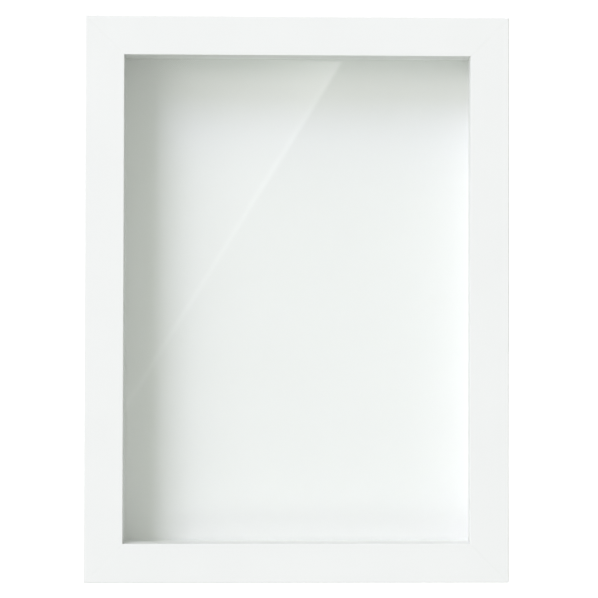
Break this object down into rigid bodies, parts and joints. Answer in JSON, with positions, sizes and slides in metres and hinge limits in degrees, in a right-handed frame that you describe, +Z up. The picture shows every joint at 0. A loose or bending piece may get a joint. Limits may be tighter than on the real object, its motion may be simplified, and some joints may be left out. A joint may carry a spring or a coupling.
{
  "type": "shadow box",
  "caption": "Deep white picture frame with a glass front, white inner walls and backdrop, and a back panel held by turn buttons; it stands or hangs.",
  "frame": {"origin": "centre of the frame's underside, midway between its front and rear faces", "axes": "+Z up along the long side, +X to the right seen from the front, +Y to the rear; the glass front faces -Y"},
  "size_m": [0.3, 0.049, 0.4],
  "materials": {
    "frame_paint": "smooth MDF, satin white paint",
    "nail_steel": "plain spring steel",
    "clear_glass": "clear float glass, ground edges",
    "spacer_board": "stiff board wrapped in satin white paper",
    "backdrop_board": "matt white card",
    "hardboard": "brown hardboard",
    "button_steel": "pressed steel, zinc plated",
    "screw_steel": "zinc plated",
    "hanger_steel": "nickel plated",
    "bumper_rubber": "clear soft rubber"
  },
  "bodies": {
    "frame": {"frame_rail_bottom": "frame_paint", "frame_rail_right": "frame_paint", "frame_rail_top": "frame_paint", "frame_rail_left": "frame_paint", "corner_nails": "nail_steel", "glass_pane": "clear_glass", "spacer_bottom": "spacer_board", "spacer_right": "spacer_board", "spacer_top": "spacer_board", "spacer_left": "spacer_board", "turn_button_screws": "screw_steel", "hanger_strap_top": "hanger_steel", "hanger_strap_left": "hanger_steel", "hanger_screws": "screw_steel", "wall_bumpers": "bumper_rubber"},
    "back_cover": {"backdrop_card": "backdrop_board", "back_panel": "hardboard"},
    "turn_button_bottom_left": {"turn_button_bottom_left": "button_steel"},
    "turn_button_bottom_right": {"turn_button_bottom_right": "button_steel"},
    "turn_button_right_lower": {"turn_button_right_lower": "button_steel"},
    "turn_button_right_upper": {"turn_button_right_upper": "button_steel"},
    "turn_button_top_right": {"turn_button_top_right": "button_steel"},
    "turn_button_top_left": {"turn_button_top_left": "button_steel"},
    "turn_button_left_upper": {"turn_button_left_upper": "button_steel"},
    "turn_button_left_lower": {"turn_button_left_lower": "button_steel"},
    "hanger_ring_top": {"hanger_ring_top": "hanger_steel"},
    "hanger_ring_left": {"hanger_ring_left": "hanger_steel"}
  },
  "joints": [
    {"name": "back_cover_lift", "type": "slide", "parent": "frame", "child": "back_cover", "axis": [0, 1, 0], "range_m": [0, 0.08]},
    {"name": "turn_button_bottom_left_turn", "type": "hinge", "parent": "frame", "child": "turn_button_bottom_left", "pos_m": [-0.072, 0.0231, 0.0155], "axis": [0, 1, 0], "continuous": true},
    {"name": "turn_button_bottom_right_turn", "type": "hinge", "parent": "frame", "child": "turn_button_bottom_right", "pos_m": [0.072, 0.0231, 0.0155], "axis": [0, 1, 0], "continuous": true},
    {"name": "turn_button_right_lower_turn", "type": "hinge", "parent": "frame", "child": "turn_button_right_lower", "pos_m": [0.1345, 0.0231, 0.1], "axis": [0, 1, 0], "continuous": true},
    {"name": "turn_button_right_upper_turn", "type": "hinge", "parent": "frame", "child": "turn_button_right_upper", "pos_m": [0.1345, 0.0231, 0.3], "axis": [0, 1, 0], "continuous": true},
    {"name": "turn_button_top_right_turn", "type": "hinge", "parent": "frame", "child": "turn_button_top_right", "pos_m": [0.072, 0.0231, 0.3845], "axis": [0, 1, 0], "continuous": true},
    {"name": "turn_button_top_left_turn", "type": "hinge", "parent": "frame", "child": "turn_button_top_left", "pos_m": [-0.072, 0.0231, 0.3845], "axis": [0, 1, 0], "continuous": true},
    {"name": "turn_button_left_upper_turn", "type": "hinge", "parent": "frame", "child": "turn_button_left_upper", "pos_m": [-0.1345, 0.0231, 0.3], "axis": [0, 1, 0], "continuous": true},
    {"name": "turn_button_left_lower_turn", "type": "hinge", "parent": "frame", "child": "turn_button_left_lower", "pos_m": [-0.1345, 0.0231, 0.1], "axis": [0, 1, 0], "continuous": true},
    {"name": "hanger_ring_top_swing", "type": "hinge", "parent": "frame", "child": "hanger_ring_top", "pos_m": [0, 0.02445, 0.389], "axis": [1, 0, 0], "range_deg": [0, 180]},
    {"name": "hanger_ring_left_swing", "type": "hinge", "parent": "frame", "child": "hanger_ring_left", "pos_m": [-0.139, 0.02445, 0.2], "axis": [0, 0, 1], "range_deg": [0, 180]}
  ]
}
